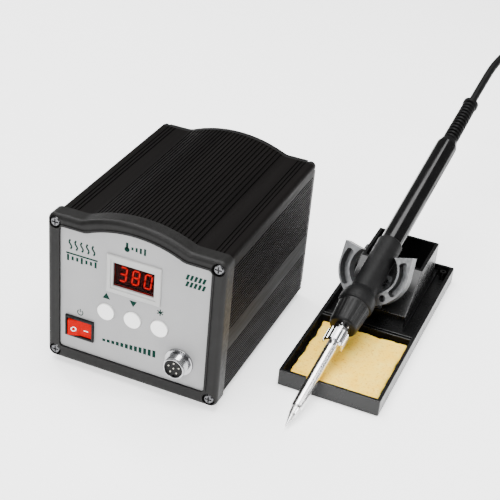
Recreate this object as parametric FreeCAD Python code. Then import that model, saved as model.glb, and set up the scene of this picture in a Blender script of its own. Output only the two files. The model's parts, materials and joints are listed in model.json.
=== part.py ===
"""Soldering iron station: control unit, iron stand with sponge tray, and iron on its cord.

Frame: +X to the right, +Y to the back, +Z up, millimetres. The origin lies on the bench, under the
middle of the control unit, whose front faces -Y. The stand is on the unit's right.
"""
import FreeCAD, Part
import math
import os

V = FreeCAD.Vector

# Control unit
WIDTH = 120.0
DEPTH = 156.0
FOOT_HEIGHT = 4.0
SHOULDER = 110.0
ARCH_RISE = 8.0
ARCH_HALF = 36.0
FRONT = -DEPTH / 2
BACK = DEPTH / 2
BEZEL_DEPTH = 12.0
REAR_BEZEL_DEPTH = 5.0
CASE_INSET = 2.0
CASE_WALL = 2.5
CASE_FRONT = FRONT + BEZEL_DEPTH
CASE_BACK = BACK - REAR_BEZEL_DEPTH
CASE_HALF = WIDTH / 2 - CASE_INSET
SCREW_X = 54.5
SCREW_Z = (9.5, 104.5)
GROOVE_DEPTH = 0.8
GROOVE_WIDTH = 1.1
SHELF_Z = 14.5
SHELF_THICK = 1.5

# Front panel and its controls
PANEL_HALF = 50.85
PANEL_LOW = 14.15
PANEL_SHOULDER = 102.85
PANEL_RISE = 7.5
PANEL_ARCH_HALF = 33.0
PANEL_FACE = FRONT + 1.5
PANEL_BACK = PANEL_FACE + 1.5
DISPLAY_Z = 80.0
BUTTON_X = {"down": 0.0, "set": 18.5, "up": -18.5}
BUTTON_Z = 50.5
BUTTON_RADIUS = 5.75
BUTTON_TRAVEL = 0.5
BOARD_FRONT = FRONT + 11.0
SWITCH_X = -36.7
SWITCH_Z = 32.0
ROCKER_PIVOT_Y = FRONT + 3.5
ROCKER_TILT = 11.0
SOCKET_X = 33.0
SOCKET_Z = 30.5
SOCKET_RADIUS = 7.3

# Rear panel fittings
REAR_FACE = BACK - 1.0
INLET_X = 26.0
INLET_Z = 36.0
FUSE_X = -8.0
FUSE_Z = 36.0
GROUND_X = -36.0
GROUND_Z = 36.0

# Stand
STAND_LEFT = 82.5
STAND_RIGHT = 151.5
STAND_FRONT = -30.0
STAND_BACK = 152.0
RIM_Z = 12.0
TRAY_LOW = 0.6
TRAY_WALL = 2.4
DIVIDER_Y = 46.0
DECK_Z = 8.0
HOLDER_X = (94.0, 139.5)
HOLDER_Y = (62.0, 93.6, 138.0)
HOLDER_Z = (17.0, 37.0)
CRADLE_CENTRE = V(112.4, 60.3, 48.1)
CRADLE_LEAN = 30.0
CRADLE_OUTER = 24.4
CRADLE_INNER = 16.6
CRADLE_THICK = 16.0
SLOT_DEPTH = 14.0

# Iron: distances along it are from the point of the tip
IRON_TIP = V(104.2, -70.0, 2.6)
IRON_RISE = 18.6
IRON_TURN = 4.0
BARREL_START = 15.0
NUT_START = 68.6
NUT_END = 79.8
NOSE_START = 85.0
GUARD_START = 104.0
GRIP_START = 118.0
GRIP_END = 166.0
HANDLE_END = 271.0
BOOT_END = 325.6
BARREL_RADIUS = 3.8
NUT_RADIUS = 7.4
GRIP_RADIUS = 9.1
HANDLE_RADIUS = 7.9

# Cord
CORD_DIAMETER = 6.0
COIL_CENTRE = V(203.5, 315.0, 0.0)
COIL_TURN_RADII = (30.0, 36.0)
COIL_LAYERS = 2
PLUG_RADIUS = 8.6
PLUG_START = V(250.5, 239.0, PLUG_RADIUS)


# ---------------------------------------------------------------- helpers

def box(x0, x1, y0, y1, z0, z1):
    return Part.makeBox(x1 - x0, y1 - y0, z1 - z0, V(x0, y0, z0))


def cylinder_y(x, z, radius, y0, y1):
    return Part.makeCylinder(radius, y1 - y0, V(x, y0, z), V(0, 1, 0))


def cylinder_z(x, y, radius, z0, z1):
    return Part.makeCylinder(radius, z1 - z0, V(x, y, z0), V(0, 0, 1))


def fused(shapes):
    return shapes[0].multiFuse(shapes[1:]).removeSplitter()


def group(solids):
    return Part.makeCompound(solids)


def prism(points, direction):
    """Straight solid whose end face has these corners."""
    return Part.Face(Part.makePolygon(points + points[:1])).extrude(direction)


def revolved(profile, start, direction):
    """Solid of revolution: profile holds (distance along the axis, radius) corners."""
    points = [V(along, radius, 0) for along, radius in profile]
    solid = Part.Face(Part.makePolygon(points + points[:1])).revolve(V(0, 0, 0), V(1, 0, 0), 360)
    turn = FreeCAD.Rotation(V(1, 0, 0), direction)
    solid.Placement = FreeCAD.Placement(start, turn)
    return solid


def arc_through(a, middle, b):
    return Part.Arc(a, middle, b).toShape()


def line(a, b):
    return Part.LineSegment(a, b).toShape()


def arched_block(half, low, shoulder, rise, arch_half, corner, y0, y1, kink_radius=10.0):
    """Block with flat shoulders, a round arch between them and round corners, from y0 to y1."""
    def at(x, z):
        return V(x, y0, z)

    def corner_arc(x, z, start_angle):
        ends = [math.radians(start_angle + step) for step in (0, 45, 90)]
        return arc_through(*[at(x + corner * math.cos(a), z + corner * math.sin(a)) for a in ends])

    inner = half - corner
    edges = [
        line(at(-inner, low), at(inner, low)),
        corner_arc(inner, low + corner, -90),
        line(at(half, low + corner), at(half, shoulder - corner)),
        corner_arc(inner, shoulder - corner, 0),
        line(at(inner, shoulder), at(arch_half, shoulder)),
        arc_through(at(arch_half, shoulder), at(0, shoulder + rise), at(-arch_half, shoulder)),
        line(at(-arch_half, shoulder), at(-inner, shoulder)),
        corner_arc(-inner, shoulder - corner, 90),
        line(at(-half, shoulder - corner), at(-half, low + corner)),
        corner_arc(-inner, low + corner, 180),
    ]
    block = Part.Face(Part.Wire(edges)).extrude(V(0, y1 - y0, 0))
    kinks = [
        e for e in block.Edges
        if abs(abs(e.CenterOfMass.x) - arch_half) < 0.01 and abs(e.CenterOfMass.z - shoulder) < 0.01
    ]
    return block.makeFillet(kink_radius, kinks)


def arch_height(x):
    """Rise of the case's arch above its shoulders at this distance from the middle."""
    radius = (ARCH_HALF ** 2 + ARCH_RISE ** 2) / (2 * ARCH_RISE)
    return math.sqrt(radius ** 2 - x ** 2) - (radius - ARCH_RISE)


def corner_points():
    return [(side * SCREW_X, z) for side in (-1, 1) for z in SCREW_Z]


def cross_head_screw(x, z, face, into, head_radius, head_height, shank_radius, shank_length):
    """Screw along Y with a domed head and a cross recess; into is +1 or -1, the way the shank points."""
    direction = V(0, into, 0)
    head = revolved(
        [(0, 0), (0, head_radius * 0.72), (head_height * 0.35, head_radius * 0.93),
         (head_height, head_radius), (head_height, 0)],
        V(x, face, z), direction,
    )
    start = V(x, face + into * head_height, z)
    shank = Part.makeCylinder(shank_radius, shank_length, start, direction)
    arm = head_radius * 0.62
    blade = 0.45
    depth = head_height * 0.7
    y0, y1 = sorted((face - into * 0.5, face + into * depth))
    cross = box(x - arm, x + arm, y0, y1, z - blade, z + blade).fuse(
        box(x - blade, x + blade, y0, y1, z - arm, z + arm))
    return head.fuse(shank).cut(cross)


# ---------------------------------------------------------------- control unit: case

def case_grooves():
    """Long grooves in the extrusion: fine ribs over the arch and the sides, three by each shoulder's edge."""
    y0, y1 = CASE_FRONT - 1, CASE_BACK + 1
    shoulder = SHOULDER - CASE_INSET
    grooves = []
    pitch = 2.7
    for i in range(26):
        x = (i - 12.5) * pitch
        z = shoulder + arch_height(x)
        grooves.append(box(x - GROOVE_WIDTH / 2, x + GROOVE_WIDTH / 2, y0, y1, z - GROOVE_DEPTH, z + 3))
    for side in (-1, 1):
        for x in (46.5, 49.0, 51.5):
            centre = side * x
            grooves.append(box(centre - 0.5, centre + 0.5, y0, y1, shoulder - GROOVE_DEPTH, shoulder + 1))
        side_pitch = 2.2
        for start, count in ((8.0, 14), (53.5, 21)):
            for i in range(count):
                z = start + i * side_pitch
                x0, x1 = sorted((side * (CASE_HALF - GROOVE_DEPTH), side * (CASE_HALF + 1)))
                grooves.append(box(x0, x1, y0, y1, z, z + GROOVE_WIDTH))
    return grooves


def case_shell():
    shoulder = SHOULDER - CASE_INSET
    outer = arched_block(CASE_HALF, FOOT_HEIGHT, shoulder, ARCH_RISE, ARCH_HALF, 3.0, CASE_FRONT, CASE_BACK)
    inner = arched_block(
        CASE_HALF - CASE_WALL, FOOT_HEIGHT + CASE_WALL, shoulder - CASE_WALL, ARCH_RISE, ARCH_HALF - 1, 1.0,
        CASE_FRONT - 1, CASE_BACK + 1)
    shell = outer.cut(inner)
    bosses = [cylinder_y(x, z, 3.6, CASE_FRONT, CASE_BACK).common(outer) for x, z in corner_points()]
    rails = []
    for side in (-1, 1):
        for z in (SHELF_Z - 1.8, SHELF_Z + SHELF_THICK + 0.2):
            x0, x1 = sorted((side * 51.5, side * (CASE_HALF - CASE_WALL / 2)))
            rails.append(box(x0, x1, CASE_FRONT, CASE_BACK, z, z + 1.6))
    shell = fused([shell] + bosses + rails)
    holes = [cylinder_y(x, z, 1.5, CASE_FRONT - 1, CASE_BACK + 1) for x, z in corner_points()]
    holes += [cylinder_z(x, y, 1.5, FOOT_HEIGHT - 1, FOOT_HEIGHT + CASE_WALL + 1) for x, y in foot_places()]
    return shell.cut(group(holes)).cut(group(case_grooves()))


def front_bezel():
    """Moulded frame round the panel, with a thin raised lip at its inner edge."""
    face = FRONT + 0.6
    block = arched_block(WIDTH / 2, FOOT_HEIGHT, SHOULDER, ARCH_RISE, ARCH_HALF, 5.0, face, CASE_FRONT)
    rounded = [e for e in block.Edges if abs(e.CenterOfMass.y - face) < 0.01]
    block = block.makeFillet(3.2, rounded)
    lip = arched_block(PANEL_HALF + 1.5, 12.7, 104.3, PANEL_RISE, PANEL_ARCH_HALF + 0.6, 3.4, FRONT, face + 1)
    opening = arched_block(51.0, 14.0, 103.0, PANEL_RISE, PANEL_ARCH_HALF, 2.5, FRONT - 1, PANEL_BACK)
    inside = arched_block(48.5, 16.5, 100.5, PANEL_RISE, PANEL_ARCH_HALF - 1, 2.0, PANEL_BACK - 0.5, CASE_FRONT + 1)
    recesses = [cylinder_y(x, z, 4.2, FRONT - 1, FRONT + 3.2) for x, z in corner_points()]
    holes = [cylinder_y(x, z, 1.9, FRONT, CASE_FRONT + 1) for x, z in corner_points()]
    return block.fuse(lip).cut(opening).cut(inside).cut(group(recesses)).cut(group(holes))


def rear_bezel():
    block = arched_block(
        CASE_HALF, FOOT_HEIGHT, SHOULDER - CASE_INSET, ARCH_RISE, ARCH_HALF, 3.0, CASE_BACK, BACK)
    rounded = [e for e in block.Edges if abs(e.CenterOfMass.y - BACK) < 0.01]
    block = block.makeFillet(1.5, rounded)
    opening = arched_block(50.0, 14.0, 102.0, PANEL_RISE, PANEL_ARCH_HALF, 2.5, BACK - 2.5, BACK + 1)
    inside = arched_block(48.0, 16.5, 99.5, PANEL_RISE, PANEL_ARCH_HALF - 1, 2.0, CASE_BACK - 1, BACK - 2)
    recesses = [cylinder_y(x, z, 4.2, BACK - 2.7, BACK + 1) for x, z in corner_points()]
    holes = [cylinder_y(x, z, 1.9, CASE_BACK - 1, BACK) for x, z in corner_points()]
    return block.cut(opening).cut(inside).cut(group(recesses)).cut(group(holes))


def front_panel():
    plate = arched_block(
        PANEL_HALF, PANEL_LOW, PANEL_SHOULDER, PANEL_RISE, PANEL_ARCH_HALF, 2.3, PANEL_FACE, PANEL_BACK)
    y0, y1 = PANEL_FACE - 1, PANEL_BACK + 1
    cuts = [box(-15.5, 15.5, y0, y1, DISPLAY_Z - 9.8, DISPLAY_Z + 9.8)]
    cuts += [cylinder_y(x, BUTTON_Z, BUTTON_RADIUS + 0.3, y0, y1) for x in BUTTON_X.values()]
    cuts.append(box(SWITCH_X - 9.5, SWITCH_X + 9.5, y0, y1, SWITCH_Z - 6.7, SWITCH_Z + 6.7))
    cuts.append(cylinder_y(SOCKET_X, SOCKET_Z, SOCKET_RADIUS + 0.2, y0, y1))
    return plate.cut(group(cuts))


def rear_panel():
    y0, y1 = BACK - 2.5, REAR_FACE
    plate = arched_block(49.85, 14.15, 101.85, PANEL_RISE, PANEL_ARCH_HALF, 2.3, y0, y1)
    cuts = [box(INLET_X - 13.6, INLET_X + 13.6, y0 - 1, y1 + 1, INLET_Z - 10.1, INLET_Z + 10.1)]
    cuts.append(cylinder_y(FUSE_X, FUSE_Z, 6.1, y0 - 1, y1 + 1))
    cuts.append(cylinder_y(GROUND_X, GROUND_Z, 4.1, y0 - 1, y1 + 1))
    for i in range(9):
        x = (i - 4) * 8.0
        slot = box(x - 1.5, x + 1.5, y0 - 1, y1 + 1, 64.0, 90.0)
        ends = [cylinder_y(x, z, 1.5, y0 - 1, y1 + 1) for z in (64.0, 90.0)]
        cuts.append(slot.fuse(ends[0]).fuse(ends[1]))
    return plate.cut(group(cuts))


def case_screws():
    """Eight alike, four through each bezel into the case's corner bosses."""
    front = [cross_head_screw(x, z, FRONT + 0.9, 1, 3.6, 2.3, 1.45, 16.0) for x, z in corner_points()]
    rear = [cross_head_screw(x, z, BACK - 0.4, -1, 3.6, 2.3, 1.45, 16.0) for x, z in corner_points()]
    return group(front + rear)


def foot_places():
    return [(side * 46.0, y) for side in (-1, 1) for y in (CASE_FRONT + 12.0, CASE_BACK - 14.0)]


def rubber_feet():
    feet = []
    for x, y in foot_places():
        foot = Part.makeCone(5.2, 6.2, FOOT_HEIGHT, V(x, y, 0), V(0, 0, 1))
        foot = foot.cut(cylinder_z(x, y, 3.2, -1, 2.0)).cut(cylinder_z(x, y, 1.6, 0, FOOT_HEIGHT + 1))
        feet.append(foot)
    return group(feet)


def foot_screws():
    screws = []
    for x, y in foot_places():
        head = cylinder_z(x, y, 2.9, 0.6, 2.0)
        screws.append(head.fuse(cylinder_z(x, y, 1.4, 2.0, FOOT_HEIGHT + CASE_WALL + 1.5)))
    return group(screws)


# ---------------------------------------------------------------- control unit: front controls

def display_frame():
    """Stepped plastic frame, with a neck through the panel and a sloping edge down to the window."""
    z = DISPLAY_Z
    slab = box(-18.5, 18.5, PANEL_FACE - 1.2, PANEL_FACE, z - 13.5, z + 13.5)
    rim = [e for e in slab.Edges if abs(e.CenterOfMass.y - PANEL_FACE + 1.2) < 0.01]
    slab = slab.makeChamfer(0.5, rim)
    neck = box(-15.3, 15.3, PANEL_FACE, PANEL_FACE + 3.5, z - 9.6, z + 9.6)
    step = box(-15.6, 15.6, PANEL_FACE - 2, PANEL_FACE - 0.7, z - 10.4, z + 10.4)
    through = box(-14.0, 14.0, PANEL_FACE - 2, PANEL_FACE + 5, z - 8.5, z + 8.5)
    return slab.fuse(neck).cut(step).cut(through).removeSplitter()


def display_window():
    return box(-13.9, 13.9, PANEL_FACE + 0.5, PANEL_FACE + 1.7, DISPLAY_Z - 8.4, DISPLAY_Z + 8.4)


def display_module():
    return box(-13.8, 13.8, PANEL_FACE + 2.3, BOARD_FRONT, DISPLAY_Z - 8.3, DISPLAY_Z + 8.3)


def digit_segments():
    """Lit bars of three seven-segment digits, slanted a little."""
    half_height = 4.9
    half_width = 2.15
    bar = 0.85
    slant = math.tan(math.radians(6))
    lit = (("abcdg", -8.4), ("abcdefg", 0.2), ("abcdef", 8.6))
    spans = {
        "a": (-half_width, half_width, half_height, half_height),
        "g": (-half_width, half_width, 0, 0),
        "d": (-half_width, half_width, -half_height, -half_height),
        "b": (half_width, half_width, 0, half_height),
        "c": (half_width, half_width, -half_height, 0),
        "f": (-half_width, -half_width, 0, half_height),
        "e": (-half_width, -half_width, -half_height, 0),
    }
    y0 = PANEL_FACE + 2.0
    solids = []
    for names, centre in lit:
        for name in names:
            x0, x1, z0, z1 = spans[name]
            h = bar / 2
            gap = 0.35
            if z0 == z1:
                corners = [(x0 + gap, z0), (x0 + gap + h, z0 + h), (x1 - gap - h, z0 + h),
                           (x1 - gap, z0), (x1 - gap - h, z0 - h), (x0 + gap + h, z0 - h)]
            else:
                corners = [(x0, z0 + gap), (x0 + h, z0 + gap + h), (x0 + h, z1 - gap - h),
                           (x0, z1 - gap), (x0 - h, z1 - gap - h), (x0 - h, z0 + gap + h)]
            points = [V(centre + x + slant * z, y0, DISPLAY_Z + z) for x, z in corners]
            solids.append(prism(points, V(0, 0.3, 0)))
    return group(solids)


def display_board():
    board = box(-46.0, 46.0, BOARD_FRONT, BOARD_FRONT + 1.6, 42.5, 97.0)
    holes = [cylinder_y(x, z, 1.6, BOARD_FRONT - 1, BOARD_FRONT + 3) for x, z in spacer_places()]
    return board.cut(group(holes))


def spacer_places():
    return [(side * 42.0, z) for side in (-1, 1) for z in (47.0, 93.0)]


def board_posts():
    """Eight alike: four hold the display board behind the panel, four the main board above the shelf."""
    posts = []
    for x, z in spacer_places():
        body = cylinder_y(x, z, 2.6, PANEL_BACK, BOARD_FRONT)
        posts.append(body.fuse(cylinder_y(x, z, 1.4, BOARD_FRONT, BOARD_FRONT + 3.5)))
    for x, y in post_places():
        body = cylinder_z(x, y, 2.6, SHELF_Z + SHELF_THICK, MAIN_BOARD_Z)
        posts.append(body.fuse(cylinder_z(x, y, 1.4, MAIN_BOARD_Z, MAIN_BOARD_Z + 3.5)))
    return group(posts)


def tact_switches():
    switches = []
    for x in BUTTON_X.values():
        body = box(x - 3, x + 3, BOARD_FRONT - 3.4, BOARD_FRONT, BUTTON_Z - 3, BUTTON_Z + 3)
        plunger = cylinder_y(x, BUTTON_Z, 1.7, BOARD_FRONT - 3.9, BOARD_FRONT - 3.4)
        switches.append(body.fuse(plunger))
    return group(switches)


def button(name):
    """Round push button, kept behind the panel by a flange."""
    x = BUTTON_X[name]
    face = PANEL_FACE - 1.0
    cap = cylinder_y(x, BUTTON_Z, BUTTON_RADIUS, face, PANEL_BACK + 0.4)
    cap = cap.makeFillet(0.4, [e for e in cap.Edges if abs(e.CenterOfMass.y - face) < 0.01])
    flange = cylinder_y(x, BUTTON_Z, BUTTON_RADIUS + 1.0, PANEL_BACK + 0.3, PANEL_BACK + 1.3)
    stem = cylinder_y(x, BUTTON_Z, 2.0, PANEL_BACK + 1.3, BOARD_FRONT - 3.9 - BUTTON_TRAVEL - 0.1)
    return cap.fuse(flange).fuse(stem).removeSplitter()


def switch_housing():
    x, z = SWITCH_X, SWITCH_Z
    rim = box(x - 10.1, x + 10.1, PANEL_FACE - 1.8, PANEL_FACE, z - 7.6, z + 7.6)
    front = [e for e in rim.Edges if abs(e.CenterOfMass.y - PANEL_FACE + 1.8) < 0.01]
    rim = rim.makeFillet(0.6, front)
    body = box(x - 9.4, x + 9.4, PANEL_FACE, FRONT + 17.0, z - 6.6, z + 6.6)
    cavity = box(x - 8.95, x + 8.95, PANEL_FACE - 3, FRONT + 8.0, z - 6.1, z + 6.1)
    pivot = Part.makeCylinder(1.05, 13.0, V(x, ROCKER_PIVOT_Y, z - 6.5), V(0, 0, 1))
    return rim.fuse(body).cut(cavity).cut(pivot).removeSplitter()


def tilted(shape):
    """Turns a rocker piece about its pivot to the pressed-on side."""
    shape.rotate(V(SWITCH_X, ROCKER_PIVOT_Y, SWITCH_Z), V(0, 0, 1), ROCKER_TILT)
    return shape


def rocker_points():
    """Rocker's outline: distance from the pivot along X, and towards the front."""
    return [(-7.9, 4.4), (0.0, 3.0), (7.9, 4.4), (8.0, 0.5), (5.4, -2.8), (-5.4, -2.8), (-8.0, 0.5)]


def power_rocker():
    low, high = SWITCH_Z - 5.8, SWITCH_Z + 5.8
    corners = [V(SWITCH_X + x, ROCKER_PIVOT_Y - out, low) for x, out in rocker_points()]
    body = prism(corners, V(0, 0, high - low))
    sides = [
        e for e in body.Edges
        if abs(abs(e.CenterOfMass.z - SWITCH_Z) - 5.8) < 0.01 and e.CenterOfMass.y < ROCKER_PIVOT_Y - 3
    ]
    body = body.makeFillet(0.5, sides)
    pins = Part.makeCylinder(1.0, 12.6, V(SWITCH_X, ROCKER_PIVOT_Y, SWITCH_Z - 6.3), V(0, 0, 1))
    return tilted(body.fuse(pins))


def socket_shell():
    """Threaded round socket for the iron's plug, drawn at the thread's outer size."""
    x, z = SOCKET_X, SOCKET_Z
    flange = cylinder_y(x, z, 9.5, PANEL_FACE - 1.4, PANEL_FACE)
    flange = flange.makeChamfer(0.5, [e for e in flange.Edges if abs(e.CenterOfMass.y - PANEL_FACE + 1.4) < 0.01])
    barrel = cylinder_y(x, z, SOCKET_RADIUS, PANEL_FACE - 8.8, PANEL_FACE - 1.4)
    barrel = barrel.makeChamfer(0.5, [e for e in barrel.Edges if abs(e.CenterOfMass.y - PANEL_FACE + 8.8) < 0.01])
    rear = cylinder_y(x, z, SOCKET_RADIUS, PANEL_FACE, PANEL_FACE + 11.0)
    bore = cylinder_y(x, z, 6.1, PANEL_FACE - 10, PANEL_FACE + 12)
    return fused([flange, barrel, rear]).cut(bore)


def socket_insert():
    x, z = SOCKET_X, SOCKET_Z
    body = cylinder_y(x, z, 6.1, PANEL_FACE - 7.4, PANEL_FACE + 12.0)
    key = box(x - 0.8, x + 0.8, PANEL_FACE - 8, PANEL_FACE - 4, z - 6.5, z - 5.2)
    holes = [cylinder_y(px, pz, 0.55, PANEL_FACE - 8, PANEL_FACE + 13) for px, pz in socket_pin_places()]
    return body.cut(key).cut(group(holes))


def socket_pin_places():
    ring = [math.radians(90 + 72 * i) for i in range(5)]
    places = [(SOCKET_X + 3.6 * math.cos(a), SOCKET_Z + 3.6 * math.sin(a)) for a in ring]
    return [(SOCKET_X, SOCKET_Z)] + places


def socket_pins():
    return group([cylinder_y(x, z, 0.5, PANEL_FACE - 8.0, PANEL_FACE + 16.0) for x, z in socket_pin_places()])


def socket_nut():
    corners = [
        V(SOCKET_X + 10.2 * math.cos(math.radians(a)), PANEL_BACK, SOCKET_Z + 10.2 * math.sin(math.radians(a)))
        for a in range(0, 360, 60)
    ]
    nut = prism(corners, V(0, 2.4, 0))
    return nut.cut(cylinder_y(SOCKET_X, SOCKET_Z, SOCKET_RADIUS + 0.05, PANEL_BACK - 1, PANEL_BACK + 4))


# ---------------------------------------------------------------- control unit: rear fittings

def mains_inlet():
    x, z = INLET_X, INLET_Z
    flange = box(x - 15.4, x + 15.4, REAR_FACE, REAR_FACE + 2.6, z - 12.0, z + 12.0)
    flange = flange.makeChamfer(1.0, [e for e in flange.Edges if abs(e.CenterOfMass.y - REAR_FACE - 2.6) < 0.01])
    body = box(x - 13.5, x + 13.5, REAR_FACE - 20.0, REAR_FACE, z - 10.0, z + 10.0)
    cavity = box(x - 12.2, x + 12.2, REAR_FACE - 14.5, REAR_FACE + 4, z - 8.3, z + 8.3)
    corners = [e for e in cavity.Edges if e.CenterOfMass.z > z + 5 and abs(abs(e.CenterOfMass.x - x) - 12.2) < 0.1
               and abs(e.CenterOfMass.z - z - 8.3) < 0.01]
    cavity = cavity.makeChamfer(4.0, corners)
    holes = [box(px - 1.05, px + 1.05, REAR_FACE - 21, REAR_FACE - 14, pz - 2.05, pz + 2.05)
             for px, pz in inlet_pin_places()]
    return flange.fuse(body).cut(cavity).cut(group(holes)).removeSplitter()


def inlet_pin_places():
    return [(INLET_X - 7.0, INLET_Z - 0.5), (INLET_X + 7.0, INLET_Z - 0.5), (INLET_X, INLET_Z + 3.5)]


def inlet_pins():
    return group([
        box(px - 1.0, px + 1.0, REAR_FACE - 27.0, REAR_FACE - 1.0, pz - 2.0, pz + 2.0)
        for px, pz in inlet_pin_places()
    ])


def fuse_holder():
    body = cylinder_y(FUSE_X, FUSE_Z, 6.0, REAR_FACE - 34.0, REAR_FACE)
    flange = cylinder_y(FUSE_X, FUSE_Z, 8.0, REAR_FACE, REAR_FACE + 1.8)
    bore = cylinder_y(FUSE_X, FUSE_Z, 4.4, REAR_FACE - 32.0, REAR_FACE + 3)
    return body.fuse(flange).cut(bore).removeSplitter()


def fuse_cap():
    """Bayonet cap with a driver slot; its sleeve carries the fuse."""
    head = cylinder_y(FUSE_X, FUSE_Z, 6.4, REAR_FACE + 2.0, REAR_FACE + 7.0)
    flutes = []
    for i in range(12):
        a = math.radians(30 * i)
        flutes.append(cylinder_y(
            FUSE_X + 6.7 * math.cos(a), FUSE_Z + 6.7 * math.sin(a), 0.7, REAR_FACE + 2.6, REAR_FACE + 8))
    slot = box(FUSE_X - 4.5, FUSE_X + 4.5, REAR_FACE + 5.6, REAR_FACE + 8, FUSE_Z - 0.6, FUSE_Z + 0.6)
    sleeve = cylinder_y(FUSE_X, FUSE_Z, 4.3, REAR_FACE - 10.0, REAR_FACE + 2.0)
    bore = cylinder_y(FUSE_X, FUSE_Z, 2.7, REAR_FACE - 11.0, REAR_FACE + 1.0)
    return head.cut(group(flutes)).cut(slot).fuse(sleeve).cut(bore).removeSplitter()


def fuse():
    return cylinder_y(FUSE_X, FUSE_Z, 2.6, REAR_FACE - 19.0, REAR_FACE + 0.8)


def ground_jack():
    """Round 4 mm socket for an earth lead, with its nut behind the panel."""
    x, z = GROUND_X, GROUND_Z
    head = cylinder_y(x, z, 6.0, REAR_FACE, REAR_FACE + 3.0)
    head = head.makeChamfer(0.6, [e for e in head.Edges if abs(e.CenterOfMass.y - REAR_FACE - 3) < 0.01])
    body = cylinder_y(x, z, 4.0, REAR_FACE - 18.0, REAR_FACE)
    bore = cylinder_y(x, z, 2.02, REAR_FACE - 15.0, REAR_FACE + 4)
    return head.fuse(body).cut(bore).removeSplitter()


# ---------------------------------------------------------------- control unit: inside

TRANSFORMER = V(-16.0, 8.0, SHELF_Z + SHELF_THICK)
MAIN_BOARD_Z = SHELF_Z + SHELF_THICK + 8.0


def shelf_plate():
    plate = box(-52.8, 52.8, CASE_FRONT + 8, CASE_BACK - 4, SHELF_Z, SHELF_Z + SHELF_THICK)
    holes = [cylinder_z(x, y, 2.1, SHELF_Z - 1, SHELF_Z + 3) for x, y in strap_places()]
    return plate.cut(group(holes))


def transformer_core():
    x, y, z = TRANSFORMER
    core = box(x - 27, x + 27, y - 14, y + 14, z + 1.2, z + 46.2)
    windows = [box(x + s * 13.5 - 4.5, x + s * 13.5 + 4.5, y - 15, y + 15, z + 10.2, z + 37.2) for s in (-1, 1)]
    return core.cut(group(windows))


def transformer_coil():
    x, y, z = TRANSFORMER
    coil = box(x - 17.7, x + 17.7, y - 22, y + 22, z + 10.6, z + 36.8)
    coil = coil.makeFillet(3.0, [e for e in coil.Edges if abs(e.Vertexes[0].Z - e.Vertexes[-1].Z) > 20])
    return coil.cut(box(x - 9.2, x + 9.2, y - 14.2, y + 14.2, z + 10, z + 37.5))


def transformer_strap():
    """Folded strap over the core, with a foot at each side."""
    x, y, z = TRANSFORMER
    over = box(x - 28.2, x + 28.2, y - 12, y + 12, z, z + 47.4)
    over = over.cut(box(x - 27.1, x + 27.1, y - 13, y + 13, z - 1, z + 46.3))
    feet = [box(*sorted((x + s * 27.2, x + s * 34.0)), y - 12, y + 12, z, z + 1.1) for s in (-1, 1)]
    holes = [cylinder_z(px, py, 2.1, z - 1, z + 3) for px, py in strap_places()]
    return fused([over] + feet).cut(group(holes))


def strap_places():
    return [(TRANSFORMER.x + s * 31.0, TRANSFORMER.y) for s in (-1, 1)]


def strap_screws():
    z = TRANSFORMER.z + 1.1
    return group([
        cylinder_z(x, y, 2.8, z, z + 2.0).fuse(cylinder_z(x, y, 2.0, SHELF_Z - 4, z))
        for x, y in strap_places()
    ])


def post_places():
    return [(x, y) for x in (18.0, 46.0) for y in (-42.0, 46.0)]


def main_board():
    board = box(14.0, 50.0, -46.0, 50.0, MAIN_BOARD_Z, MAIN_BOARD_Z + 1.6)
    return board.cut(group([cylinder_z(x, y, 1.5, MAIN_BOARD_Z - 1, MAIN_BOARD_Z + 3) for x, y in post_places()]))


def heatsink():
    z = MAIN_BOARD_Z + 1.6
    base = box(38.0, 41.0, -30.0, 20.0, z, z + 32.0)
    fins = [box(41.0, 49.5, -30.0 + 6.1 * i, -28.8 + 6.1 * i, z, z + 32.0) for i in range(9)]
    return fused([base] + fins)


def power_devices():
    z = MAIN_BOARD_Z + 1.6
    devices = []
    for y in (-20.0, -4.0, 12.0):
        body = box(33.4, 38.0, y - 5, y + 5, z + 6, z + 15)
        tab = box(36.7, 38.0, y - 5, y + 5, z + 15, z + 21)
        legs = [box(35.2, 36.0, y + 2.54 * i - 0.4, y + 2.54 * i + 0.4, z, z + 6) for i in (-1, 0, 1)]
        devices.append(fused([body, tab] + legs))
    return group(devices)


def capacitors():
    z = MAIN_BOARD_Z + 1.6
    return group([cylinder_z(x, y, r, z, z + h) for x, y, r, h in
                  ((24.0, -30.0, 6.3, 24.0), (24.0, -14.0, 6.3, 24.0), (23.0, 2.0, 4.0, 12.0))])


# ---------------------------------------------------------------- stand

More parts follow.
